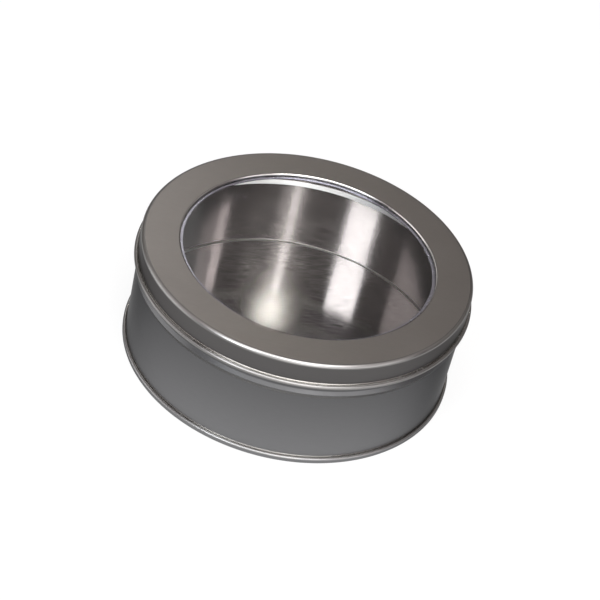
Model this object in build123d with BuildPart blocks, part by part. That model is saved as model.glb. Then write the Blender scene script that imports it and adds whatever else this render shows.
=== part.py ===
from build123d import *
import os
from math import asin, atan2, degrees, hypot, sqrt

# Round slip-lid tin with a clear window in its lid.
# Millimetres, +Z up, origin at the centre of the ring that the tin stands on.
# Every pressed piece is drawn as the middle line of its sheet, from the axis outwards as r and z,
# given the sheet's thickness and then revolved about the tin's axis.

# Angles
quarter_turn = 90
half_turn = 180

# Tinplate, the same for the wall, the base, the lid and the ring that holds the window
sheet = 0.25

# Body wall: a rolled cylinder with a curled rim, a bead under the lid's curl that runs out more
# gently below than above, and a side seam
wall_radius = 88.95
body_height = 66.15
rim_curl_radius = 1.45
rim_curl_turn = 300
bead_upper_height = 2.1
bead_lower_height = 2.6
bead_depth = 1.15
bead_bend = 0.25
bead_drop = 2.75
side_seam_azimuth = 180
side_seam_width = 1.2
side_seam_proud = 0.12

# Seam that joins the base to the wall: five layers, folded into each other with a little room
seam_gap = 0.35
hook_overlap = 0.7
hook_end_gap = 0.2
foot_bend = 0.7

# Base disc, whose floor stands above the table
floor_height = 4.0
floor_bend = 0.6

# Lid
slip_clearance = 0.3
lid_depth = 14.55
lid_curl_radius = 1.12
lid_curl_turn = 310
window_border = 20.7
window_bend = 0.9
window_lip_straight = 0.2

# Window pane
pane_thickness = 0.3
pane_grip = 3.2
pane_clearance = 0.05

# Ring under the lid's top that holds the pane against the window's lip
ring_inset = 1.7
ring_bend = 0.3
ring_hem_straight = 0.3
ring_edge_gap = 0.4
ring_rim_clearance = 1.0

# Allowance by which a cut runs past what it cuts
overrun = 1.0

# Sizes that follow from the ones above
half_sheet = sheet / 2

wall_mid = wall_radius - half_sheet
rim_bend = rim_curl_radius - half_sheet
rim_axis_height = body_height - rim_curl_radius

lid_top = body_height + slip_clearance + sheet
lid_underside = lid_top - sheet
lid_radius = wall_radius + slip_clearance + sheet
lid_corner_radius = rim_curl_radius + slip_clearance + sheet
lid_bottom = lid_top - lid_depth
window_radius = lid_radius - window_border

bead_top = lid_bottom - bead_drop
bead_bottom = bead_top - bead_upper_height - bead_lower_height
bead_offset = bead_depth - 2 * bead_bend
upper_bends_apart = hypot(bead_upper_height, bead_offset)
upper_lean = degrees(
    atan2(bead_offset, bead_upper_height) + asin(2 * bead_bend / upper_bends_apart)
)
upper_flank_length = sqrt(upper_bends_apart**2 - (2 * bead_bend) ** 2)
lower_bends_apart = hypot(bead_lower_height, bead_offset)
lower_lean = degrees(
    atan2(bead_offset, bead_lower_height) + asin(2 * bead_bend / lower_bends_apart)
)
lower_flank_length = sqrt(lower_bends_apart**2 - (2 * bead_bend) ** 2)

layer_pitch = sheet + seam_gap
body_fold_height = half_sheet + 2 * layer_pitch
base_fold_height = body_fold_height + hook_overlap + 2 * hook_end_gap
floor_mid = floor_height - half_sheet
chuck_wall_mid = wall_mid - layer_pitch

window_lip_depth = window_bend + window_lip_straight + half_sheet
pane_radius = window_radius + pane_grip
pane_top = lid_top - window_lip_depth - pane_clearance
pane_bottom = pane_top - pane_thickness
ring_shelf_mid = pane_bottom - half_sheet
ring_flange_mid = lid_underside - half_sheet
ring_step_mid = pane_radius + ring_edge_gap + half_sheet
ring_lip_mid = window_radius - ring_inset + half_sheet
ring_radius = wall_radius - 2 * rim_curl_radius - ring_rim_clearance

os.makedirs("parts", exist_ok=True)

# Body wall: rim curled inwards, straight wall, outward bead, and the hook folded into the base seam
with BuildPart() as body_wall:
    with BuildSketch(Plane.XZ):
        with BuildLine():
            CenterArc((wall_mid - rim_bend, rim_axis_height), rim_bend, 0, rim_curl_turn)
            collar = Line((wall_mid, rim_axis_height), (wall_mid, bead_top))
            bead_start = JernArc(collar @ 1, collar % 1, bead_bend, upper_lean)
            upper_flank = PolarLine(bead_start @ 1, upper_flank_length, direction=bead_start % 1)
            bead_crown = JernArc(
                upper_flank @ 1, upper_flank % 1, bead_bend, -upper_lean - lower_lean
            )
            lower_flank = PolarLine(bead_crown @ 1, lower_flank_length, direction=bead_crown % 1)
            bead_end = JernArc(lower_flank @ 1, lower_flank % 1, bead_bend, lower_lean)
            side = Line(bead_end @ 1, (wall_mid, body_fold_height))
            body_fold = JernArc(side @ 1, side % 1, layer_pitch, half_turn)
            Line(body_fold @ 1, ((body_fold @ 1).X, base_fold_height - hook_end_gap - half_sheet))
            offset(amount=half_sheet, side=Side.BOTH)
        make_face()
    revolve(axis=Axis.Z)
    # Side seam: the sheet's two ends lap here and stand a little proud of the wall below the bead
    side_seam_angle = degrees(side_seam_width / wall_radius)
    with BuildSketch(Plane.XZ.rotated((0, 0, side_seam_azimuth - side_seam_angle / 2))):
        with Locations((wall_mid, base_fold_height)):
            Rectangle(
                half_sheet + side_seam_proud,
                bead_bottom - base_fold_height,
                align=(Align.MIN, Align.MIN),
            )
    revolve(axis=Axis.Z, revolution_arc=side_seam_angle)

# Base disc: floor, the wall that drops inside the body, the foot, and the hook over the body's hook
with BuildPart() as base_disc:
    with BuildSketch(Plane.XZ):
        with BuildLine():
            floor = Line((0, floor_mid), (chuck_wall_mid - floor_bend, floor_mid))
            floor_corner = JernArc(floor @ 1, floor % 1, floor_bend, -quarter_turn)
            chuck_wall = Line(floor_corner @ 1, (chuck_wall_mid, half_sheet + foot_bend))
            foot_start = JernArc(chuck_wall @ 1, chuck_wall % 1, foot_bend, quarter_turn)
            foot = PolarLine(foot_start @ 1, 4 * layer_pitch - 2 * foot_bend, 0)
            foot_end = JernArc(foot @ 1, foot % 1, foot_bend, quarter_turn)
            seam_wall = Line(foot_end @ 1, ((foot_end @ 1).X, base_fold_height))
            base_fold = JernArc(seam_wall @ 1, seam_wall % 1, layer_pitch, half_turn)
            Line(base_fold @ 1, ((base_fold @ 1).X, body_fold_height + hook_end_gap + half_sheet))
            offset(amount=half_sheet, side=Side.BOTH)
        make_face()
        # The sheet's rounded end at the axis is cut square, so that the floor closes on itself
        with Locations((0, floor_mid)):
            Rectangle(sheet + overrun, sheet + overrun, align=(Align.MAX, Align.CENTER), mode=Mode.SUBTRACT)
    revolve(axis=Axis.Z)

# Lid shell: lip turned down round the window, flat top, skirt, and a curl rolled outwards
with BuildPart() as lid_shell:
    with BuildSketch(Plane.XZ):
        with BuildLine():
            lip_mid = window_radius + half_sheet
            lip = Line(
                (lip_mid, lid_top - window_bend - window_lip_straight),
                (lip_mid, lid_top - window_bend),
            )
            lip_bend = JernArc(lip @ 1, lip % 1, window_bend - half_sheet, -quarter_turn)
            top = Line(lip_bend @ 1, (lid_radius - lid_corner_radius, lid_top - half_sheet))
            corner = JernArc(top @ 1, top % 1, lid_corner_radius - half_sheet, -quarter_turn)
            skirt = Line(corner @ 1, ((corner @ 1).X, lid_bottom + lid_curl_radius))
            JernArc(skirt @ 1, skirt % 1, lid_curl_radius - half_sheet, lid_curl_turn)
            offset(amount=half_sheet, side=Side.BOTH)
        make_face()
    revolve(axis=Axis.Z)

# Window pane: a clear plastic disc that lies on the ring's shelf
with BuildPart() as window_pane:
    with BuildSketch(Plane.XY.offset(pane_bottom)):
        Circle(pane_radius)
    extrude(amount=pane_thickness)

# Retaining ring: flange under the lid's top, step down to the pane's shelf, and a hem turned down
with BuildPart() as window_retaining_ring:
    with BuildSketch(Plane.XZ):
        with BuildLine():
            flange = Line(
                (ring_radius - half_sheet, ring_flange_mid),
                (ring_step_mid + ring_bend, ring_flange_mid),
            )
            step_start = JernArc(flange @ 1, flange % 1, ring_bend, quarter_turn)
            step = Line(step_start @ 1, (ring_step_mid, ring_shelf_mid + ring_bend))
            step_end = JernArc(step @ 1, step % 1, ring_bend, -quarter_turn)
            shelf = Line(step_end @ 1, (ring_lip_mid + ring_bend, ring_shelf_mid))
            hem_bend = JernArc(shelf @ 1, shelf % 1, ring_bend, quarter_turn)
            PolarLine(hem_bend @ 1, ring_hem_straight, -quarter_turn)
            offset(amount=half_sheet, side=Side.BOTH)
        make_face()
    revolve(axis=Axis.Z)

body_wall.part.label = "body_wall"
export_step(body_wall.part, "parts/body_wall.step")

base_disc.part.label = "base_disc"
export_step(base_disc.part, "parts/base_disc.step")

lid_shell.part.label = "lid_shell"
export_step(lid_shell.part, "parts/lid_shell.step")

window_pane.part.label = "window_pane"
export_step(window_pane.part, "parts/window_pane.step")

window_retaining_ring.part.label = "window_retaining_ring"
export_step(window_retaining_ring.part, "parts/window_retaining_ring.step")
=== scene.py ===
"""Looks and studio for a round slip-lid tin with a clear window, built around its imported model.

Lengths are metres in the frame's own axes: +Z is up and the origin is the middle of the ring
that the tin stands on. Profiles are drawn as radius and height and turned about the +Z axis.
"""

import logging
import math
from dataclasses import dataclass, field, replace
from enum import Enum

import bpy
from mathutils import Matrix, Vector

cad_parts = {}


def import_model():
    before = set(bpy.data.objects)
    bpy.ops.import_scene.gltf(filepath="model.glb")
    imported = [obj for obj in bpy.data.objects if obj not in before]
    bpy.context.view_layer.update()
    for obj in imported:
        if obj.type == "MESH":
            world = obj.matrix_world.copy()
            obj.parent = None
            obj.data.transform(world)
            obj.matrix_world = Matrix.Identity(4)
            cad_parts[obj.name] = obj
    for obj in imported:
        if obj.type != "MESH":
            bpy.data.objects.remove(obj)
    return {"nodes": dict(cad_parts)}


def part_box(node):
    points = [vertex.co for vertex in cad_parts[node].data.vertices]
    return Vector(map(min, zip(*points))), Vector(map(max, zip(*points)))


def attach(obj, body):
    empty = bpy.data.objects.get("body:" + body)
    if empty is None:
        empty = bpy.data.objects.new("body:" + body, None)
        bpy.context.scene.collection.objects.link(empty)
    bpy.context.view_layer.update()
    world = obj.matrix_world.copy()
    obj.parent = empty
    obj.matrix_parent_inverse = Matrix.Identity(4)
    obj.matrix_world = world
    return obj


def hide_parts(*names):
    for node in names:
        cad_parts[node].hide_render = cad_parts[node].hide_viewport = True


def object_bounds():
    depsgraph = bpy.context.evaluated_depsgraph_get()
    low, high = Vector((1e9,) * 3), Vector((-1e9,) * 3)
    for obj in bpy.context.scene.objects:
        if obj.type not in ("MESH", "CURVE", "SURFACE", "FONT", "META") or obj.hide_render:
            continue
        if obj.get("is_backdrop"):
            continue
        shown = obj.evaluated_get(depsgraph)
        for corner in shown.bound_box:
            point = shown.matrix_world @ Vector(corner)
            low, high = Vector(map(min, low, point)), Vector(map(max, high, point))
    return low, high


LOG = logging.getLogger("window_tin")

MM = 0.001
QUARTER_TURN = 90
HALF_TURN = 180
TIN_BODY = "tin_body"
LID_BODY = "lid"
WEAR_GLINT = "wear_glint"
WHITE = (1.0, 1.0, 1.0, 1.0)

# Numbers of a Mix node's two inputs and of its result, by data type
MIX_SOCKETS = {"FLOAT": (2, 3, 0), "VECTOR": (4, 5, 1), "RGBA": (6, 7, 2)}


class Side(Enum):
    """A face of the sheet, left or right of the way in which its middle line is walked."""

    LEFT = 1
    RIGHT = -1


class GrainLay(Enum):
    """How the rolling grain lies on a stretch of sheet."""

    STRAIGHT = "straight"
    AROUND = "around"


class Part(Enum):
    """A pressed part of the tin."""

    LID = "lid"
    WALL = "wall"
    BASE = "base"
    RING = "ring"


SheetMaterials = dict[tuple[Side, GrainLay], bpy.types.Material]
TinMaterials = dict[Part, SheetMaterials]
Socket = bpy.types.NodeSocket
Rgb = tuple[float, float, float]
Rgba = tuple[float, float, float, float]


def add_object(name: str, data: bpy.types.ID) -> bpy.types.Object:
    """Makes an object and links it to the scene.

    Args:
        name: Name of the object.
        data: The mesh, lamp or camera that it holds.

    Returns:
        The new object.
    """
    made = bpy.data.objects.new(name, data)
    bpy.context.scene.collection.objects.link(made)
    return made


def spokes(count: int) -> list[tuple[float, float]]:
    """Gives the cosine and sine of each of a number of equal steps round a circle."""
    angles = [2 * math.pi * step / count for step in range(count)]
    return [(math.cos(angle), math.sin(angle)) for angle in angles]


@dataclass(frozen=True)
class Station:
    """A point on a sheet's middle line, with its heading in radians.

    lay tells how the grain lies on the stretch that leads to the station, and the last field, from
    0 to
    1, how much the sheet is brightened there: partly wear from the tool that bent it, partly a
    painted highlight or glint.
    """

    radius: float
    height: float
    heading: float
    lay: GrainLay
    wear_glint_share: float

    def beside(self, angle: float, reach: float) -> tuple[float, float]:
        """Gives the point at a reach from the station, at an angle from the radius."""
        return self.radius + reach * math.cos(angle), self.height + reach * math.sin(angle)


@dataclass(frozen=True)
class RimPoint:
    """A point on the closed outline of a sheet, with the angle of its normal."""

    radius: float
    height: float
    normal: float
    side: Side
    lay: GrainLay
    wear_glint_share: float


@dataclass
class SheetPath:
    """The middle line of a pressed sheet, walked from one end to the other.

    Headings are degrees from the outward radius, and a positive turn is to the left.
    """

    radius: float
    height: float
    heading: float
    arc_step: float = 7.5
    stations: list[Station] = field(default_factory=list)

    def __post_init__(self) -> None:
        """Places the first station."""
        self._place(GrainLay.AROUND)

    def _place(self, lay: GrainLay, wear_glint_share: float = 0.0) -> None:
        """Adds a station at the present place."""
        heading = math.radians(self.heading)
        self.stations.append(Station(self.radius, self.height, heading, lay, wear_glint_share))

    def straight(self, length: float, cuts: int = 1, wear_glint_share: float = 0.0,
                 lay: GrainLay = GrainLay.AROUND) -> "SheetPath":
        """Walks straight on.

        Args:
            length: How far to walk.
            cuts: Into how many equal stretches the walk is divided.
            wear_glint_share: How much the sheet is brightened there, partly wear and partly a
                painted highlight or glint.
            lay: How the grain lies there.

        Returns:
            The path itself.
        """
        angle = math.radians(self.heading)
        for _ in range(cuts):
            self.radius += math.cos(angle) * length / cuts
            self.height += math.sin(angle) * length / cuts
            self._place(lay, wear_glint_share)
        return self

    def bend(self, bend_radius: float, turn: float, wear_glint_share: float = 1.0,
             even: bool = False) -> "SheetPath":
        """Walks round an arc.

        Args:
            bend_radius: Radius of the arc at the middle line.
            turn: Degrees to turn, positive to the left.
            wear_glint_share: How much the bend is brightened, partly wear from the tool and partly
                a painted highlight.
            even: True where it is brightened evenly, and not most in its middle.

        Returns:
            The path itself.
        """
        square = math.copysign(QUARTER_TURN, turn)
        centre_angle = math.radians(self.heading + square)
        centre_radius = self.radius + bend_radius * math.cos(centre_angle)
        centre_height = self.height + bend_radius * math.sin(centre_angle)
        steps = math.ceil(abs(turn) / self.arc_step)
        start = self.heading
        for step in range(1, steps + 1):
            self.heading = start + turn * step / steps
            out = math.radians(self.heading - square)
            self.radius = centre_radius + bend_radius * math.cos(out)
            self.height = centre_height + bend_radius * math.sin(out)
            # Unless even, brightest in the bend's middle: wear, and a painted highlight narrowed to
            # the middle of the bend
            share = 1.0 if even else math.sin(math.pi * step / steps)
            self._place(GrainLay.AROUND, wear_glint_share * share)
        return self

    def outline(self, thickness: float, from_axis: bool = False) -> list[RimPoint]:
        """Gives the sheet its thickness.

        Args:
            thickness: Thickness of the sheet.
            from_axis: True for a sheet that starts on the axis and so has no edge there.

        Returns:
            The outline, with the sheet's outside on the left of its order.
        """
        half, quarter = thickness / 2, math.pi / 2

        def on_side(station: Station, side: Side, lay: GrainLay) -> RimPoint:
            """Gives the outline's point beside a station."""
            normal = station.heading + side.value * quarter
            return RimPoint(*station.beside(normal, half), normal, side, lay, station.wear_glint_share)

        def rounded_end(station: Station, first: float, cuts: int = 6) -> list[RimPoint]:
            """Gives the points between the two faces at an end of the sheet."""
            angles = [first - math.pi * cut / cuts for cut in range(1, cuts)]
            return [
                RimPoint(*station.beside(angle, half), angle, Side.RIGHT, GrainLay.AROUND, 1.0)
                for angle in angles
            ]

        left = [on_side(s, Side.LEFT, s.lay) for s in self.stations]
        lays = [s.lay for s in self.stations[1:]] + [GrainLay.AROUND]
        right = [on_side(s, Side.RIGHT, lay) for s, lay in zip(self.stations, lays)]
        points = left + rounded_end(self.stations[-1], self.stations[-1].heading + quarter)
        points += reversed(right)
        if not from_axis:
            points += rounded_end(self.stations[0], self.stations[0].heading - quarter)
        return points


class NodeBoard:
    """A node tree that is being filled, with short calls to add and join its nodes."""

    def __init__(self, tree: bpy.types.NodeTree) -> None:
        """Takes the tree to fill."""
        self.tree = tree

    def join(self, source: Socket, target: Socket) -> None:
        """Joins two sockets."""
        self.tree.links.new(source, target)

    def add(self, kind: str, inputs: dict | None = None, **settings: object) -> bpy.types.Node:
        """Adds a node.

        Args:
            kind: Blender's name of the node type, without "ShaderNode".
            inputs: What its inputs get, by name or number: a socket to join or a plain value.
            **settings: Properties of the node itself.

        Returns:
            The new node.
        """
        name = kind if kind.startswith("Node") else "ShaderNode" + kind
        node = self.tree.nodes.new(name)
        for setting, value in settings.items():
            setattr(node, setting, value)
        for key, value in (inputs or {}).items():
            if isinstance(value, Socket):
                self.join(value, node.inputs[key])
            else:
                node.inputs[key].default_value = value
        return node

    def group(self, tree: bpy.types.NodeTree, inputs: dict | None = None) -> bpy.types.Node:
        """Places a node group, with its own values."""
        return self.add("Group", inputs, node_tree=tree)

    def math(self, operation: str, *values: object, clamp: bool = False) -> Socket:
        """Adds a Math node on the values and returns its result."""
        node = self.add("Math", dict(enumerate(values)), operation=operation, use_clamp=clamp)
        return node.outputs[0]

    def vector(self, operation: str, *values: object) -> Socket:
        """Adds a Vector Math node on the values and returns its result, a vector or a number."""
        node = self.add("VectorMath", dict(enumerate(values)), operation=operation)
        return node.outputs["Value" if operation in ("LENGTH", "DOT_PRODUCT") else "Vector"]

    def mix(self, share: object, first: object, second: object, kind: str = "FLOAT") -> Socket:
        """Adds a Mix node and returns its result.

        Args:
            share: How much of the second value is taken.
            first: The value at a share of 0.
            second: The value at a share of 1.
            kind: What is mixed, a key of MIX_SOCKETS.

        Returns:
            The result socket.
        """
        low, high, result = MIX_SOCKETS[kind]
        node = self.add("Mix", {0: share, low: first, high: second}, data_type=kind)
        return node.outputs[result]

    def spread(self, value: object, low: float, high: float, to_low: float = 0.0,
               to_high: float = 1.0, smooth: bool = False) -> Socket:
        """Adds a Map Range node and returns its result.

        Args:
            value: The value to map.
            low: The value that gives to_low.
            high: The value that gives to_high.
            to_low: Result at the low end.
            to_high: Result at the high end.
            smooth: True for a soft start and end.

        Returns:
            The result socket.
        """
        node = self.add(
            "MapRange", {0: value, 1: low, 2: high, 3: to_low, 4: to_high},
            interpolation_type="SMOOTHSTEP" if smooth else "LINEAR",
        )
        return node.outputs[0]

    def surface(self, shader: bpy.types.Node) -> None:
        """Makes a shader the material's surface, in the principled one's place."""
        self.tree.nodes.remove(self.tree.nodes["Principled BSDF"])
        self.join(shader.outputs[0], self.tree.nodes["Material Output"].inputs["Surface"])


def new_material(name: str) -> tuple[bpy.types.Material, NodeBoard]:
    """Starts a material.

    Args:
        name: Name of the material.

    Returns:
        The material, and the board that fills its nodes.
    """
    material = bpy.data.materials.new(name)
    material.use_nodes = True
    return material, NodeBoard(material.node_tree)


def new_group(name: str, inputs: dict[str, float], vectors: list[str],
              outputs: dict[str, str]) -> tuple[NodeBoard, bpy.types.Node, bpy.types.Node]:
    """Starts a shader node group.

    Args:
        name: Name of the group.
        inputs: Names of its number inputs, with their usual values.
        vectors: Names of its vector inputs.
        outputs: Names of its outputs, with "Float" or "Vector".

    Returns:
        The board to fill, the node of its inputs and the node of its outputs.
    """
    tree = bpy.data.node_groups.new(name, "ShaderNodeTree")
    for title in vectors:
        tree.interface.new_socket(title, in_out="INPUT", socket_type="NodeSocketVector")
    for title, usual in inputs.items():
        socket = tree.interface.new_socket(title, in_out="INPUT", socket_type="NodeSocketFloat")
        socket.default_value = usual
    for title, kind in outputs.items():
        tree.interface.new_socket(title, in_out="OUTPUT", socket_type="NodeSocket" + kind)
    board = NodeBoard(tree)
    return board, board.add("NodeGroupInput"), board.add("NodeGroupOutput")


class SheetEffects:
    """The shader node groups that the tin's finishes share.

    A contrast is the two noise values between which a mark goes from none to full. A hairline
    direction is an angle in radians and how much longer than wide the lines are.
    """

    COARSE_GRAIN = {"Scale": 0.35, "Detail": 2.0, "Roughness": 0.55}
    FINE_GRAIN = {"Scale": 1.0, "Detail": 3.0, "Roughness": 0.6}
    COARSE_SHARE = 0.6
    GRAIN_CONTRAST = (0.35, 0.65)
    SMUDGE_NOISE = {"Detail": 2.0, "Roughness": 0.5, "Distortion": 0.6}
    SMUDGE_CONTRAST = (0.45, 0.7)
    HAIRLINE_NOISE = {"Scale": 1.0, "Detail": 0.0}
    HAIRLINE_DIRECTIONS = ((0.35, 40.0), (-0.9, 55.0))
    HAIRLINE_CONTRAST = (0.74, 0.8)

    def __init__(self) -> None:
        """Builds each group once."""
        self.unrolled = {GrainLay.AROUND: self._around(), GrainLay.STRAIGHT: self._straight()}
        self.rolling_grain = self._rolling_grain()
        self.handling = self._handling()

    def _around(self) -> bpy.types.NodeTree:
        """Builds the group that unrolls a round wall into length around, height and radius."""
        board, given, out = new_group("unrolled_wall", {"Angle": 0}, [], {"Vector": "Vector"})
        x, y, z = board.add("SeparateXYZ", {0: board.add("TexCoord").outputs["Object"]}).outputs
        radius = board.vector("LENGTH", board.add("CombineXYZ", {"X": x, "Y": y}).outputs[0])
        turned = board.math("ADD", board.math("ARCTAN2", y, x), given.outputs["Angle"])
        around = board.math("MULTIPLY", turned, radius)
        unrolled = board.add("CombineXYZ", {"X": around, "Y": z, "Z": radius})
        board.join(unrolled.outputs[0], out.inputs["Vector"])
        return board.tree

    def _straight(self) -> bpy.types.NodeTree:
        """Builds the group that lays a flat blank's grain along its own X."""
        board, given, out = new_group("flat_blank", {"Angle": 0}, [], {"Vector": "Vector"})
        place = board.add("TexCoord").outputs["Object"]
        turned = board.add(
            "VectorRotate", {"Vector": place, "Angle": given.outputs["Angle"]},
            rotation_type="Z_AXIS", invert=True,
        )
        board.join(turned.outputs[0], out.inputs["Vector"])
        return board.tree

    def _rolling_grain(self) -> bpy.types.NodeTree:
        """Builds the group for the fine lines that rolling leaves along a sheet."""
        board, given, out = new_group(
            "rolling_grain", {"Length": 2 * MM, "Width": 0.4 * MM}, ["Vector"],
            {"Tone": "Float", "Height": "Float"},
        )
        along = board.math("DIVIDE", 1.0, given.outputs["Length"])
        across = board.math("DIVIDE", 1.0, given.outputs["Width"])
        scale = board.add("CombineXYZ", {"X": along, "Y": across, "Z": across}).outputs[0]
        place = board.vector("MULTIPLY", given.outputs["Vector"], scale)
        coarse = board.add("TexNoise", {"Vector": place, **self.COARSE_GRAIN}).outputs[0]
        fine = board.add("TexNoise", {"Vector": place, **self.FINE_GRAIN}).outputs[0]
        height = board.math(
            "ADD",
            board.math("MULTIPLY", coarse, self.COARSE_SHARE),
            board.math("MULTIPLY", fine, 1.0 - self.COARSE_SHARE),
        )
        tone = board.spread(height, *self.GRAIN_CONTRAST, smooth=True)
        board.join(height, out.inputs["Height"])
        board.join(tone, out.inputs["Tone"])
        return board.tree

    def _handling(self) -> bpy.types.NodeTree:
        """Builds the group for the marks that handling leaves: soft smudges and hairlines."""
        board, given, out = new_group(
            "handling_marks", {"Smudge": 35 * MM, "Hairline": 9 * MM}, ["Vector"],
            {"Smudges": "Float", "Hairlines": "Float"},
        )
        place = given.outputs["Vector"]
        wide = board.math("DIVIDE", 1.0, given.outputs["Smudge"])
        smudge = board.add("TexNoise", {"Vector": place, "Scale": wide, **self.SMUDGE_NOISE})
        smudges = board.spread(smudge.outputs[0], *self.SMUDGE_CONTRAST, smooth=True)
        long = board.math("DIVIDE", 1.0, given.outputs["Hairline"])
        lines = None
        for angle, stretch in self.HAIRLINE_DIRECTIONS:
            turned = board.add(
                "VectorRotate", {"Vector": place, "Angle": angle}, rotation_type="Z_AXIS"
            ).outputs[0]
            fine = board.math("MULTIPLY", long, stretch)
            scale = board.add("CombineXYZ", {"X": long, "Y": fine, "Z": long}).outputs[0]
            drawn = board.vector("MULTIPLY", turned, scale)
            noise = board.add("TexNoise", {"Vector": drawn, **self.HAIRLINE_NOISE}).outputs[0]
            line = board.spread(noise, *self.HAIRLINE_CONTRAST, smooth=True)
            lines = line if lines is None else board.math("MAXIMUM", lines, line)
        board.join(smudges, out.inputs["Smudges"])
        board.join(lines, out.inputs["Hairlines"])
        return board.tree


@dataclass(frozen=True)
class TinplateFinish:
    """A rolled and tinned steel sheet's finish, in one of its lays of grain.

    The sheet is brightened where a tool has bent it, wholly so from the full wear and glint share
    on:
    partly wear and partly painted highlights and glints. The two painted shade factors scale a
    round wall's colour at its bottom and at the painted shade height, a painted shade and
    reflection that is brighter at the foot and darker towards the top. grain_tone and
    grain_roughness are how much the grain changes the colour and the roughness, and edge_tint is
    how bright a grazing reflection is.
    """

    name: str
    color: Rgb
    roughness: float
    wear_glint_color: Rgb
    wear_glint_roughness: float
    grain_depth: float
    grain_tone: float
    grain_length: float = 2.4 * MM
    grain_width: float = 0.35 * MM
    grain_angle: float = 0.0
    grain_roughness: float = 0.0
    smudge_roughness: float = 0.05
    hairline_roughness: float = 0.12
    edge_tint: float = 1.0
    full_wear_glint: float = 1.0
    painted_shade_low: float = 1.0
    painted_shade_high: float = 1.0
    painted_shade_height: float = 50 * MM

    def build(self, effects: SheetEffects, lay: GrainLay) -> bpy.types.Material:
        """Makes the material.

        Args:
            effects: The shared node groups.
            lay: How the grain lies.

        Returns:
            The new material.
        """
        material, board = new_material(f"{self.name}_{lay.value}")
        shader = material.node_tree.nodes["Principled BSDF"]
        angle = math.radians(self.grain_angle)
        place = board.group(effects.unrolled[lay], {"Angle": angle}).outputs["Vector"]
        lines = {"Vector": place, "Length": self.grain_length, "Width": self.grain_width}
        grain = board.group(effects.rolling_grain, lines).outputs
        marks = board.group(effects.handling, {"Vector": place}).outputs
        # Partly tool wear, partly painted highlight and glint: this mark brightens the colour and
        # changes the roughness
        wear_glint_share = board.add("Attribute", attribute_name=WEAR_GLINT).outputs["Fac"]
        wear_glint = board.spread(wear_glint_share, 0.0, self.full_wear_glint)
        # Painted shade and reflection: a round wall is written brighter at its foot and darker
        # towards the top
        height = board.add("SeparateXYZ", {0: place}).outputs["Y"]
        tone = board.spread(height, 0.0, self.painted_shade_height, self.painted_shade_low, self.painted_shade_high)
        plain = board.vector("MULTIPLY", self.color, tone)
        mixed = board.mix(wear_glint, plain, self.wear_glint_color, "VECTOR")
        shade = board.spread(grain["Tone"], 0.0, 1.0, 1.0 - self.grain_tone, 1.0 + self.grain_tone)
        rough = board.math("MULTIPLY", marks["Smudges"], self.smudge_roughness)
        for mark, added in (
            (marks["Hairlines"], self.hairline_roughness), (grain["Tone"], self.grain_roughness)
        ):
            rough = board.math("ADD", rough, board.math("MULTIPLY", mark, added))
        worked = board.spread(wear_glint, 0.0, 1.0, self.roughness, self.wear_glint_roughness)
        bump = board.add(
            "Bump", {"Strength": 1.0, "Distance": self.grain_depth, "Height": grain["Height"]}
        )
        board.join(board.vector("MULTIPLY", mixed, shade), shader.inputs["Base Color"])
        board.join(board.math("ADD", rough, worked, clamp=True), shader.inputs["Roughness"])
        board.join(bump.outputs[0], shader.inputs["Normal"])
        shader.inputs["Metallic"].default_value = 1.0
        shader.inputs["Specular Tint"].default_value = (*[self.edge_tint] * 3, 1.0)
        return material


@dataclass(frozen=True)
class ClearSheetFinish:
    """A thin clear plastic sheet: what is behind it shows, and lamps glint on its face."""

    name: str = "clear_sheet"
    tint: Rgba = (0.955, 0.96, 0.965, 1.0)
    ior: float = 1.45
    roughness: float = 0.1
    smudge_roughness: float = 0.008
    smudge_size: float = 50 * MM

    def build(self, effects: SheetEffects) -> bpy.types.Material:
        """Makes the material.

        Args:
            effects: The shared node groups.

        Returns:
            The new material.
        """
        material, board = new_material(self.name)
        place = board.group(effects.unrolled[GrainLay.STRAIGHT]).outputs["Vector"]
        marks = board.group(effects.handling, {"Vector": place, "Smudge": self.smudge_size})
        smudges = board.math("MULTIPLY", marks.outputs["Smudges"], self.smudge_roughness)
        rough = board.math("ADD", self.roughness, smudges)
        through = board.add("BsdfTransparent", {"Color": self.tint})
        shine = board.add("BsdfGlossy", {"Color": WHITE, "Roughness": rough})
        front = board.math("SUBTRACT", 1.0, board.add("NewGeometry").outputs["Backfacing"])
        share = board.math("MULTIPLY", board.add("Fresnel", {"IOR": self.ior}).outputs[0], front)
        both = board.add("MixShader", {0: share, 1: through.outputs[0], 2: shine.outputs[0]})
        board.surface(both)
        return material


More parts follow.
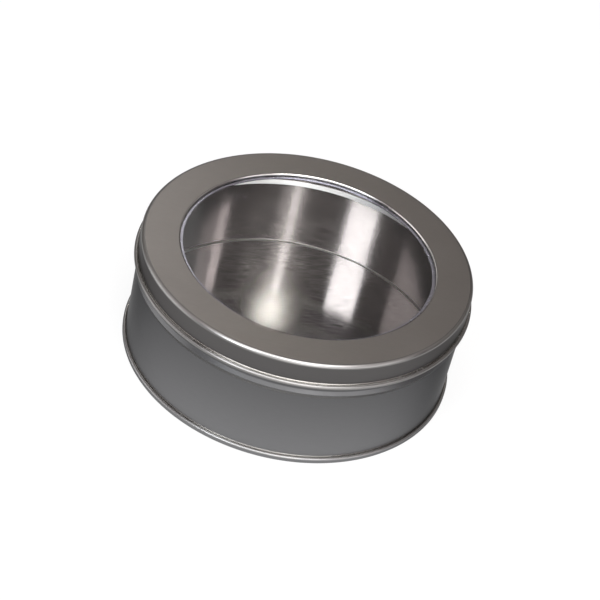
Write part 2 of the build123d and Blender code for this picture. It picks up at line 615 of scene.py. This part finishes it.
@dataclass(frozen=True)
class PressedTinplate:
    """The finishes of the tin's sheet: satin outside and bright inside, in both lays."""

    top: TinplateFinish = TinplateFinish(
        name="satin_top", color=(0.228, 0.215, 0.204), roughness=0.34,
        wear_glint_color=(0.62, 0.61, 0.59), wear_glint_roughness=0.2,
        grain_depth=0.0006 * MM, grain_tone=0.012, edge_tint=0.6,
    )
    # Painted shade: the skirt and the wall are the top's satin sheet written darker, with weaker
    # edge tints
    skirt: TinplateFinish = replace(
        top, name="satin_skirt_shaded", color=(0.107, 0.103, 0.102), edge_tint=0.4
    )
    wall: TinplateFinish = replace(
        top, name="satin_wall_shaded", color=(0.145, 0.145, 0.148), edge_tint=0.3,
        # Painted shade and reflection: brighter at the wall's foot, darker towards its top
        painted_shade_low=1.42, painted_shade_high=0.82,
    )
    inner_wall: TinplateFinish = TinplateFinish(
        name="bright_wall", color=(0.45, 0.425, 0.412), roughness=0.075,
        wear_glint_color=(0.75, 0.74, 0.715), wear_glint_roughness=0.28, full_wear_glint=0.3,
        grain_depth=0.0002 * MM, grain_tone=0.05, grain_length=4.0 * MM, grain_width=0.3 * MM,
        grain_roughness=0.03, smudge_roughness=0.01, hairline_roughness=0.0,
    )
    inner_floor: TinplateFinish = replace(
        inner_wall, name="bright_floor", roughness=0.09,
        grain_depth=0.001 * MM, grain_tone=0.15, grain_length=3.0 * MM, grain_width=0.28 * MM,
        grain_angle=14.0, grain_roughness=0.14,
    )
    ring: TinplateFinish = TinplateFinish(
        name="bright_ring", color=(0.31, 0.305, 0.355), roughness=0.24,
        wear_glint_color=(0.55, 0.54, 0.61), wear_glint_roughness=0.26,
        grain_depth=0.0004 * MM, grain_tone=0.03,
    )

    def build(self, effects: SheetEffects) -> TinMaterials:
        """Makes the materials.

        Args:
            effects: The shared node groups.

        Returns:
            The materials of each part's sheet, by the sheet's side and the grain's lay.
        """
        flat, around = GrainLay.STRAIGHT, GrainLay.AROUND
        top, skirt = self.top.build(effects, flat), self.skirt.build(effects, around)
        wall = self.wall.build(effects, around)
        inner_wall = self.inner_wall.build(effects, around)
        inner_floor = self.inner_floor.build(effects, flat)
        ring_flat, ring_around = (self.ring.build(effects, lay) for lay in (flat, around))
        # Each row has the left side's flat and round material, then the right side's
        rows = {
            Part.LID: (top, skirt, inner_floor, skirt),
            Part.WALL: (wall, wall, inner_floor, inner_wall),
            Part.BASE: (inner_floor, inner_wall, top, wall),
            Part.RING: (ring_flat, ring_around, ring_flat, ring_around),
        }
        faces = [(side, lay) for side in (Side.LEFT, Side.RIGHT) for lay in (flat, around)]
        return {part: dict(zip(faces, row)) for part, row in rows.items()}


@dataclass
class Lathe:
    """Turns sheets about the tin's axis into meshes with exact normals."""

    thickness: float
    columns: int = 384

    def turn(self, name: str, path: SheetPath, materials: SheetMaterials,
             from_axis: bool = False) -> bpy.types.Object:
        """Makes a turned piece.

        Args:
            name: Name of the piece.
            path: The middle line of its sheet, with the outside on its left.
            materials: Materials by side and lay.
            from_axis: True for a sheet that starts on the axis.

        Returns:
            The new object, linked to the scene.
        """
        outline = path.outline(self.thickness, from_axis)
        circle = spokes(self.columns)
        verts, normals, wear_glint, rings = [], [], [], []
        for number, point in enumerate(outline):
            pole = from_axis and number in (0, len(outline) - 1)
            radius, out = (0.0, 0.0) if pole else (point.radius, math.cos(point.normal))
            first = len(verts)
            for x, y in circle[:1] if pole else circle:
                verts.append((radius * x, radius * y, point.height))
                normals.append((out * x, out * y, math.sin(point.normal)))
                wear_glint.append(point.wear_glint_share)
            rings.append([first] * self.columns if pole else range(first, len(verts)))
        keys, faces, slots = list(materials), [], []
        next_columns = [*range(1, self.columns), 0]
        followers = [*range(1, len(outline))] + ([] if from_axis else [0])
        for near, follower in zip(rings, followers):
            far = rings[follower]
            slots += [keys.index((outline[follower].side, outline[follower].lay))] * self.columns
            for column, after in enumerate(next_columns):
                # Two corners that fall together on the axis count once
                corners = (near[column], far[column], far[after], near[after])
                faces.append(tuple(dict.fromkeys(corners)))
        mesh = bpy.data.meshes.new(name)
        mesh.from_pydata(verts, [], faces)
        for key in keys:
            mesh.materials.append(materials[key])
        mesh.polygons.foreach_set("material_index", slots)
        mesh.polygons.foreach_set("use_smooth", [True] * len(faces))
        # Each point's share of wear and of painted highlight or glint
        mesh.attributes.new(WEAR_GLINT, "FLOAT", "POINT").data.foreach_set("value", wear_glint)
        mesh.normals_split_custom_set_from_vertices(normals)
        return add_object(name, mesh)


@dataclass
class SheetSizes:
    """Sizes that the pressed pieces share, those of the frame read from its boxes.

    glint_reach is how far above a roll the sheet beside it is made brighter, so that it mirrors the
    roll as a painted glint.
    """

    thickness: float = 0.25 * MM
    layer_gap: float = 0.35 * MM
    glint_reach: float = 0.7 * MM
    read_step: float = 0.01 * MM

    @property
    def half(self) -> float:
        """Half the sheet's thickness."""
        return self.thickness / 2

    @property
    def pitch(self) -> float:
        """From one folded layer's middle to the next."""
        return self.thickness + self.layer_gap

    def read(self, node: str) -> tuple[float, float, float]:
        """Reads a node's size from the frame.

        Args:
            node: Name of the node.

        Returns:
            Its outer radius, lowest height and highest height, in whole read steps.
        """
        low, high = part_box(node)
        reach = min(high.x, high.y, -low.x, -low.y)
        return tuple(round(v / self.read_step) * self.read_step for v in (reach, low.z, high.z))


@dataclass
class TinBody:
    """The body wall with its rim curl, bead and side seam, and the base seamed to it."""

    sheet: SheetSizes
    rim_curl_radius: float = 1.45 * MM
    rim_curl_turn: float = 300
    bead_upper_height: float = 2.1 * MM
    bead_lower_height: float = 2.6 * MM
    bead_depth: float = 1.15 * MM
    bead_bend: float = 0.25 * MM
    bead_polish: float = 0.3
    bead_drop: float = 2.75 * MM
    hook_overlap: float = 0.7 * MM
    hook_end_gap: float = 0.2 * MM
    foot_bend: float = 0.7 * MM
    floor_bend: float = 0.6 * MM
    seam_azimuth: float = 180
    seam_width: float = 1.2 * MM
    seam_proud: float = 0.12 * MM
    # Brightening at the base seam: wear and painted highlight on the fold, painted glint on the
    # wall above it
    fold_wear_glint: float = 0.22
    fold_top_painted_glint: float = 1.0
    painted_glint_share: float = 0.6
    fold_play: float = 0.02 * MM

    @property
    def fold_height(self) -> float:
        """Height at which the wall's sheet turns up into its hook."""
        return self.sheet.half + 2 * self.sheet.pitch

    @property
    def hook_top(self) -> float:
        """Height at which the base's sheet folds over the wall's hook."""
        return self.fold_height + self.hook_overlap + 2 * self.hook_end_gap

    def wall_path(self, lid_bottom: float) -> SheetPath:
        """Walks the wall from the end of its rim curl to the end of its hook.

        Args:
            lid_bottom: Height of the lid's lower end, which the bead stays under.

        Returns:
            The path.
        """
        reach, _, top = self.sheet.read("body_wall")
        half, pitch = self.sheet.half, self.sheet.pitch
        middle = reach - 2 * pitch - half
        curl = self.rim_curl_radius - half
        axis_radius, axis_height = middle - curl, top - self.rim_curl_radius
        end = math.radians(self.rim_curl_turn)
        radius, height = axis_radius + curl * math.cos(end), axis_height + curl * math.sin(end)
        path = SheetPath(radius, height, self.rim_curl_turn - QUARTER_TURN)
        path.bend(curl, -self.rim_curl_turn)
        bead_top = lid_bottom - self.bead_drop
        path.straight(path.height - bead_top, cuts=4)
        self._walk_bead(path)
        seam_top = self.hook_top + pitch + half
        # Painted glint: the wall just above the seam is made brighter, where it mirrors the fold's
        # top
        strip = self.sheet.glint_reach + self.sheet.thickness
        path.straight(path.height - seam_top - strip, cuts=12)
        path.straight(self.sheet.thickness, wear_glint_share=self.painted_glint_share)
        path.straight(path.height - seam_top, wear_glint_share=self.painted_glint_share)
        path.straight(path.height - self.fold_height)
        path.bend(pitch, HALF_TURN)
        return path.straight(self.hook_top - self.hook_end_gap - half - path.height)

    def _walk_bead(self, path: SheetPath) -> None:
        """Walks down over the bead.

        Args:
            path: The wall's path as far as the bead's top.
        """
        upper_lean, upper_flank = self._bead_flank(self.bead_upper_height)
        lower_lean, lower_flank = self._bead_flank(self.bead_lower_height)
        path.bend(self.bead_bend, upper_lean, 0.0).straight(upper_flank)
        path.bend(self.bead_bend, -upper_lean - lower_lean, 0.0)
        path.straight(self.bead_bend, wear_glint_share=self.bead_polish)
        path.straight(lower_flank - self.bead_bend, wear_glint_share=self.bead_polish)
        path.bend(self.bead_bend, lower_lean, 0.0)

    def _bead_flank(self, height: float) -> tuple[float, float]:
        """Gives how the bead's upper or lower flank lies.

        Args:
            height: Height of the flank with half of the bends at its ends.

        Returns:
            The lean from upright, in degrees, and the length of the straight between the bends.
        """
        offset, bends = self.bead_depth - 2 * self.bead_bend, 2 * self.bead_bend
        apart = math.hypot(offset, height)
        lean = math.degrees(math.atan2(offset, height) + math.asin(bends / apart))
        return lean, math.sqrt(apart**2 - bends**2)

    def _side_seam(self, lid_bottom: float, satin: bpy.types.Material) -> bpy.types.Object:
        """Makes the lap that joins the two ends of the wall's sheet, from the base to the bead.

        Args:
            lid_bottom: Height of the lid's lower end.
            satin: Material of the wall's outside.

        Returns:
            The new piece.
        """
        wall = self.sheet.read("body_wall")[0] - 2 * self.sheet.pitch
        bead = self.bead_drop + self.bead_upper_height + self.bead_lower_height
        crown, edge = wall + self.seam_proud, wall + self.seam_proud / 2
        flat, half = self.seam_width / 2 - self.seam_proud, self.seam_width / 2
        inner = wall - self.sheet.half
        section = [(-half, inner), (-half, edge), (-flat, crown), (0.0, crown), (flat, crown),
                   (half, edge), (half, inner)]
        verts = []
        for height in (self.hook_top, lid_bottom - bead):
            for aside, radius in section:
                azimuth = math.radians(self.seam_azimuth) + aside / wall
                verts.append((radius * math.cos(azimuth), radius * math.sin(azimuth), height))
        count = len(section)
        faces = [(n, (n + 1) % count, (n + 1) % count + count, n + count) for n in range(count)]
        faces += [tuple(reversed(range(count))), tuple(range(count, 2 * count))]
        mesh = bpy.data.meshes.new("side_seam")
        mesh.from_pydata(verts, [], faces)
        mesh.materials.append(satin)
        return add_object("side_seam", mesh)

    def base_path(self) -> SheetPath:
        """Walks the base from its middle, down round the foot and into the wall's hook."""
        reach, _, floor = self.sheet.read("base_disc")
        half, pitch = self.sheet.half, self.sheet.pitch
        seam_wall = reach - half
        inner_wall = seam_wall - 4 * pitch
        path = SheetPath(0.0, floor - half, 0)
        path.straight(inner_wall - self.floor_bend, cuts=16, lay=GrainLay.STRAIGHT)
        path.bend(self.floor_bend, -QUARTER_TURN)
        path.straight(path.height - half - self.foot_bend, cuts=2)
        path.bend(self.foot_bend, QUARTER_TURN)
        path.straight(4 * pitch - 2 * self.foot_bend)
        path.bend(self.foot_bend, QUARTER_TURN, self.fold_wear_glint)
        snug = (seam_wall - inner_wall - pitch - self.sheet.thickness - self.fold_play) / 2
        path.straight(self.hook_top + pitch - snug - path.height)
        path.bend(snug, QUARTER_TURN, self.fold_wear_glint, even=True)
        # The fold's second half is made brighter still, a painted highlight for the wall above to
        # mirror
        path.bend(snug, QUARTER_TURN, self.fold_top_painted_glint, even=True)
        return path.straight(path.height - self.fold_height - self.hook_end_gap - half)

    def build(self, lathe: Lathe, lid_bottom: float, materials: TinMaterials) -> None:
        """Makes the body's pieces and lets them ride on the tin's body.

        Args:
            lathe: What turns the sheets.
            lid_bottom: Height of the lid's lower end.
            materials: Materials by part, side and lay.
        """
        wall = lathe.turn("wall_sheet", self.wall_path(lid_bottom), materials[Part.WALL])
        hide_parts("body_wall")
        base = lathe.turn("base_sheet", self.base_path(), materials[Part.BASE], from_axis=True)
        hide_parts("base_disc")
        seam = self._side_seam(lid_bottom, materials[Part.WALL][Side.LEFT, GrainLay.AROUND])
        for piece in (wall, base, seam):
            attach(piece, TIN_BODY)
            LOG.info("%s: %d faces", piece.name, len(piece.data.polygons))


@dataclass
class WindowLid:
    """The lid shell with its curl and window lip, the pane, and the ring that holds the pane.

    curl_top is the end of the curl's turn, made brighter than the rest as a painted highlight that
    the sheet above mirrors, and lip_turn is the evenly brightened stretch of the lip's bend, partly
    wear and partly a painted highlight.
    """

    sheet: SheetSizes
    corner_radius: float = 2.0 * MM
    curl_radius: float = 1.12 * MM
    curl_turn: float = 310
    curl_top: float = 40
    # Brightening of the shell: wear and painted highlight on the bends, painted glint above the
    # curl
    corner_wear_glint: float = 0.42
    curl_wear_glint: float = 0.28
    curl_top_painted_glint: float = 0.8
    painted_glint_share: float = 1.0
    lip_wear_glint: float = 1.0
    lip_turn: float = 65
    ring_polish: float = 0.1
    window_bend: float = 0.9 * MM
    lip_straight: float = 0.2 * MM
    pane_grip: float = 3.2 * MM
    ring_inset: float = 1.7 * MM
    ring_bend: float = 0.3 * MM
    ring_hem: float = 0.3 * MM
    ring_edge_gap: float = 0.4 * MM

    @property
    def bottom(self) -> float:
        """Height of the lid's lower end."""
        return self.sheet.read("lid_shell")[1]

    @property
    def window_radius(self) -> float:
        """Radius of the opening that the window shows through."""
        return self.sheet.read("window_pane")[0] - self.pane_grip

    def shell_path(self) -> SheetPath:
        """Walks the shell from the window's lip over the top and down to the end of its curl."""
        reach, bottom, top = self.sheet.read("lid_shell")
        half, thickness = self.sheet.half, self.sheet.thickness
        skirt_middle = reach - 2 * self.curl_radius + half
        lip_end = top - self.window_bend - self.lip_straight
        path = SheetPath(self.window_radius + half, lip_end, QUARTER_TURN)
        path.straight(self.lip_straight, wear_glint_share=self.lip_wear_glint)
        path.bend(self.window_bend - half, -self.lip_turn, self.lip_wear_glint, even=True)
        path.bend(self.window_bend - half, self.lip_turn - QUARTER_TURN, 0.0)
        corner = self.corner_radius - half
        path.straight(skirt_middle - corner - path.radius, cuts=6, lay=GrainLay.STRAIGHT)
        path.bend(corner, -QUARTER_TURN, self.corner_wear_glint)
        # Painted glint: the sheet just above the curl is made brighter, where it mirrors the curl's
        # top
        strip = self.curl_radius + self.sheet.glint_reach
        path.straight(path.height - bottom - self.curl_radius - strip - thickness, cuts=3)
        path.straight(thickness, wear_glint_share=self.painted_glint_share)
        path.straight(strip, wear_glint_share=self.painted_glint_share)
        curl = self.curl_radius - half
        path.bend(curl, self.curl_turn - self.curl_top, self.curl_wear_glint, even=True)
        # The curl's end is brighter still, a painted highlight for the sheet above to mirror
        return path.bend(curl, self.curl_top, self.curl_top_painted_glint, even=True)

    def ring_path(self) -> SheetPath:
        """Walks the ring from its flange's edge down its step and in to the end of its hem."""
        reach, _, top = self.sheet.read("window_retaining_ring")
        pane_reach, pane_bottom, _ = self.sheet.read("window_pane")
        half = self.sheet.half
        step = pane_reach + self.ring_edge_gap + half
        shelf = pane_bottom - half
        path = SheetPath(reach - half, top - half, HALF_TURN)
        path.straight(path.radius - step - self.ring_bend, cuts=2, lay=GrainLay.STRAIGHT)
        path.bend(self.ring_bend, QUARTER_TURN, self.ring_polish)
        path.straight(path.height - shelf - self.ring_bend)
        path.bend(self.ring_bend, -QUARTER_TURN, self.ring_polish)
        hem = self.window_radius - self.ring_inset + half
        path.straight(path.radius - hem - self.ring_bend, cuts=2, lay=GrainLay.STRAIGHT)
        path.bend(self.ring_bend, QUARTER_TURN, self.ring_polish)
        return path.straight(self.ring_hem)

    def build(self, lathe: Lathe, pane: bpy.types.Object, materials: TinMaterials,
              clear: bpy.types.Material) -> None:
        """Makes the lid's pieces and lets them ride on the lid's body.

        Args:
            lathe: What turns the sheets.
            pane: The frame's own pane, which stays.
            materials: Materials by part, side and lay.
            clear: Material of the pane.
        """
        shell = lathe.turn("lid_sheet", self.shell_path(), materials[Part.LID])
        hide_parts("lid_shell")
        ring = lathe.turn("ring_sheet", self.ring_path(), materials[Part.RING])
        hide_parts("window_retaining_ring")
        pane.data.materials.clear()
        pane.data.materials.append(clear)
        for piece in (shell, ring):
            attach(piece, LID_BODY)
            LOG.info("%s: %d faces", piece.name, len(piece.data.polygons))


@dataclass(frozen=True)
class Softbox:
    """A flat studio lamp that faces the tin, placed by its direction from the tin."""

    name: str
    azimuth: float
    elevation: float
    width: float
    height: float
    radiance: float
    color: Rgb = (1.0, 1.0, 1.0)
    distance: float = 1.6
    round: bool = False

    def build(self, target: Vector) -> None:
        """Makes the lamp.

        Args:
            target: The point that the lamp faces.
        """
        lamp = bpy.data.lights.new(self.name, "AREA")
        lamp.shape = "ELLIPSE" if self.round else "RECTANGLE"
        lamp.size, lamp.size_y = self.width, self.height
        area = self.width * self.height * (math.pi / 4 if self.round else 1)
        lamp.energy = self.radiance * math.pi * area
        lamp.color = self.color
        turn, rise = math.radians(self.azimuth), math.radians(self.elevation)
        level = math.cos(rise)
        away = Vector((math.cos(turn) * level, math.sin(turn) * level, math.sin(rise)))
        holder = add_object(self.name, lamp)
        holder.location = target + away * self.distance
        holder.rotation_euler = away.to_track_quat("Z", "Y").to_euler()


@dataclass(frozen=True)
class Glow:
    """A soft bright patch on the room's wall, in degrees of azimuth and elevation.

    It starts at a turn from its azimuth and is full at a smaller one, and it rises from low to
    low_full and falls from high_full to high.
    """

    azimuth: float
    start: float
    full: float
    low: float
    low_full: float
    high_full: float
    high: float
    level: float

    def shine(self, board: NodeBoard, direction: Socket, z: Socket) -> Socket:
        """Gives the patch's brightness in a direction.

        Args:
            board: The world's board.
            direction: The direction.
            z: The direction's upright part.

        Returns:
            The brightness.
        """
        turn = math.radians(self.azimuth)
        towards = board.vector("DOT_PRODUCT", direction, (math.cos(turn), math.sin(turn), 0.0))
        level_part = board.math("SQRT", board.math("SUBTRACT", 1.0, board.math("MULTIPLY", z, z)))
        start, full = (math.cos(math.radians(angle)) for angle in (self.start, self.full))
        low, low_full, high_full, high = (
            math.sin(math.radians(angle))
            for angle in (self.low, self.low_full, self.high_full, self.high)
        )
        ahead = board.math("DIVIDE", towards, level_part)
        ahead = board.spread(ahead, start, full, 0.0, self.level, smooth=True)
        rise = board.spread(z, low, low_full, smooth=True)
        fall = board.spread(z, high_full, high, 1.0, 0.0, smooth=True)
        return board.math("MULTIPLY", ahead, board.math("MULTIPLY", rise, fall))


@dataclass
class Studio:
    """The floor, the lamps and the room that the tin stands in.

    The backdrop sets in as a direction's Y goes through backdrop_reach. It brightens, and the
    ceiling sets in, as the direction's Z goes through backdrop_rise and ceiling_rise.
    """

    floor_radius: float = 6.0
    floor_sides: int = 128
    floor_color: Rgba = (0.8, 0.8, 0.8, 1.0)
    floor_lift: float = 0.85
    room_level: float = 0.09
    ceiling_level: float = 0.5
    ceiling_rise: tuple[float, float] = (0.67, 0.79)
    backdrop_level: float = 0.4
    backdrop_foot: float = 0.1
    backdrop_reach: tuple[float, float] = (0.0, 0.6)
    backdrop_rise: tuple[float, float] = (0.1, 0.5)
    glows: tuple[Glow, ...] = (
        Glow(azimuth=-65, start=57, full=30, low=3, low_full=8, high_full=28, high=33.5, level=2.3),
        Glow(azimuth=-173, start=27, full=18, low=-2, low_full=1, high_full=12, high=18, level=2.7),
        Glow(azimuth=-70, start=12, full=0, low=-2, low_full=1, high_full=60, high=70, level=1.2),
    )
    room_tint: Rgba = (1.09, 0.93, 0.95, 1.0)
    backdrop_tint: Rgba = (1.06, 0.99, 0.95, 1.0)
    lamps: tuple[Softbox, ...] = (
        Softbox("wide_strip", azimuth=-122.2, elevation=42, width=0.5, height=1.16,
                radiance=7.2, color=(0.95, 0.985, 1.02)),
        Softbox("narrow_strip", azimuth=-71.0, elevation=39.5, width=0.13, height=0.6,
                radiance=3.8, color=(0.97, 0.99, 1.0)),
        Softbox("overhead", azimuth=-66, elevation=72, width=0.9, height=1.46,
                radiance=5.0, distance=1.5),
        Softbox("right_panel", azimuth=-18, elevation=36, width=0.16, height=0.7,
                radiance=2.7, color=(1.0, 0.95, 0.97)),
        Softbox("right_fill", azimuth=-8, elevation=36, width=0.25, height=0.7,
                radiance=0.75, color=(1.0, 0.95, 0.97)),
        Softbox("left_panel", azimuth=178, elevation=36, width=1.0, height=0.7,
                radiance=0.98, color=(1.0, 0.95, 0.97)),
        Softbox("left_fill", azimuth=114, elevation=40, width=0.26, height=0.3,
                radiance=1.0, distance=0.7),
        Softbox("far_lamp", azimuth=91.9, elevation=41.95, width=0.03, height=0.03,
                radiance=52.0, color=(1.0, 0.955, 0.87), distance=1.236, round=True),
    )

    def build(self, target: Vector) -> None:
        """Makes the floor, the lamps and the room.

        Args:
            target: The point that the lamps face.
        """
        self._floor()
        self._room()
        for lamp in self.lamps:
            lamp.build(target)

    def _floor(self) -> None:
        """Lays the plain pale floor, which keeps the tin's shadow."""
        reach = self.floor_radius
        rim = [(reach * x, reach * y, 0.0) for x, y in spokes(self.floor_sides)]
        mesh = bpy.data.meshes.new("studio_floor")
        mesh.from_pydata(rim, [], [tuple(range(self.floor_sides))])
        floor = add_object("studio_floor", mesh)
        material, board = new_material("pale_floor")
        rays = board.add("LightPath").outputs
        seen = board.math("MAXIMUM", rays["Is Camera Ray"], rays["Is Glossy Ray"])
        seen = board.math("MAXIMUM", seen, rays["Is Transmission Ray"])
        lift = board.math("MULTIPLY", seen, self.floor_lift)
        paper = board.add("BsdfDiffuse", {"Color": self.floor_color})
        glow = board.add("Emission", {"Color": WHITE, "Strength": 1.0})
        both = board.add("MixShader", {0: lift, 1: paper.outputs[0], 2: glow.outputs[0]})
        board.surface(both)
        mesh.materials.append(material)
        floor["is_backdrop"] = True

    def _room(self) -> None:
        """Lights the room: a backdrop darker at its foot, a ceiling and the soft glows."""
        world = bpy.data.worlds.new("studio_room")
        bpy.context.scene.world = world
        world.use_nodes = True
        board = NodeBoard(world.node_tree)
        direction = board.add("TexCoord").outputs["Generated"]
        _, y, z = board.add("SeparateXYZ", {0: direction}).outputs
        beyond = board.spread(y, *self.backdrop_reach, smooth=True)
        backdrop = board.spread(
            z, *self.backdrop_rise, self.backdrop_foot, self.backdrop_level, smooth=True
        )
        around = board.mix(beyond, self.room_level, backdrop)
        above = board.spread(z, *self.ceiling_rise, smooth=True)
        level = board.mix(above, around, self.ceiling_level)
        tint = board.mix(beyond, self.room_tint, self.backdrop_tint, "RGBA")
        color = board.vector("MULTIPLY", tint, level)
        for patch in self.glows:
            color = board.vector("ADD", color, patch.shine(board, direction, z))
        board.join(color, world.node_tree.nodes["Background"].inputs["Color"])


@dataclass(frozen=True)
class PhotoCamera:
    """The camera at the photograph's viewing angle.

    focal_pixels is the focal length measured in the picture's pixels.
    """

    elevation: float = 38.6118
    roll: float = 14.0904
    focal_pixels: float = 1877.503
    picture_side: int = 600
    sensor_width: float = 36.0
    distance: float = 1034.97 * MM
    aim_right: float = 7.706 * MM
    aim_up: float = 25.4 * MM

    def build(self) -> None:
        """Makes the camera and makes it the scene's."""
        rise, roll = math.radians(self.elevation), math.radians(self.roll)
        back = Vector((0.0, -math.cos(rise), math.sin(rise)))
        level = Vector((1.0, 0.0, 0.0))
        upright = back.cross(level)
        right = math.cos(roll) * level + math.sin(roll) * upright
        up = math.cos(roll) * upright - math.sin(roll) * level
        aim = self.aim_right * right + self.aim_up * up
        data = bpy.data.cameras.new("photo_camera")
        data.sensor_width = self.sensor_width
        data.lens = self.focal_pixels / self.picture_side * self.sensor_width
        camera = add_object("photo_camera", data)
        facing = Matrix((right, up, back)).transposed().to_4x4()
        camera.matrix_world = Matrix.Translation(aim + self.distance * back) @ facing
        bpy.context.scene.camera = camera


def main() -> None:
    """Builds the tin's looks and its studio."""
    logging.basicConfig(level=logging.INFO, format="%(message)s")
    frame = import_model()
    cad_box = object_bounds()
    bpy.context.scene.view_settings.view_transform = "Standard"
    effects = SheetEffects()
    materials = PressedTinplate().build(effects)
    clear = ClearSheetFinish().build(effects)
    sheet = SheetSizes()
    lathe = Lathe(sheet.thickness)
    lid = WindowLid(sheet)
    lid.build(lathe, frame["nodes"]["window_pane"], materials, clear)
    TinBody(sheet).build(lathe, lid.bottom, materials)
    Studio().build((cad_box[0] + cad_box[1]) / 2)
    PhotoCamera().build()


if __name__ == "__main__":
    main()
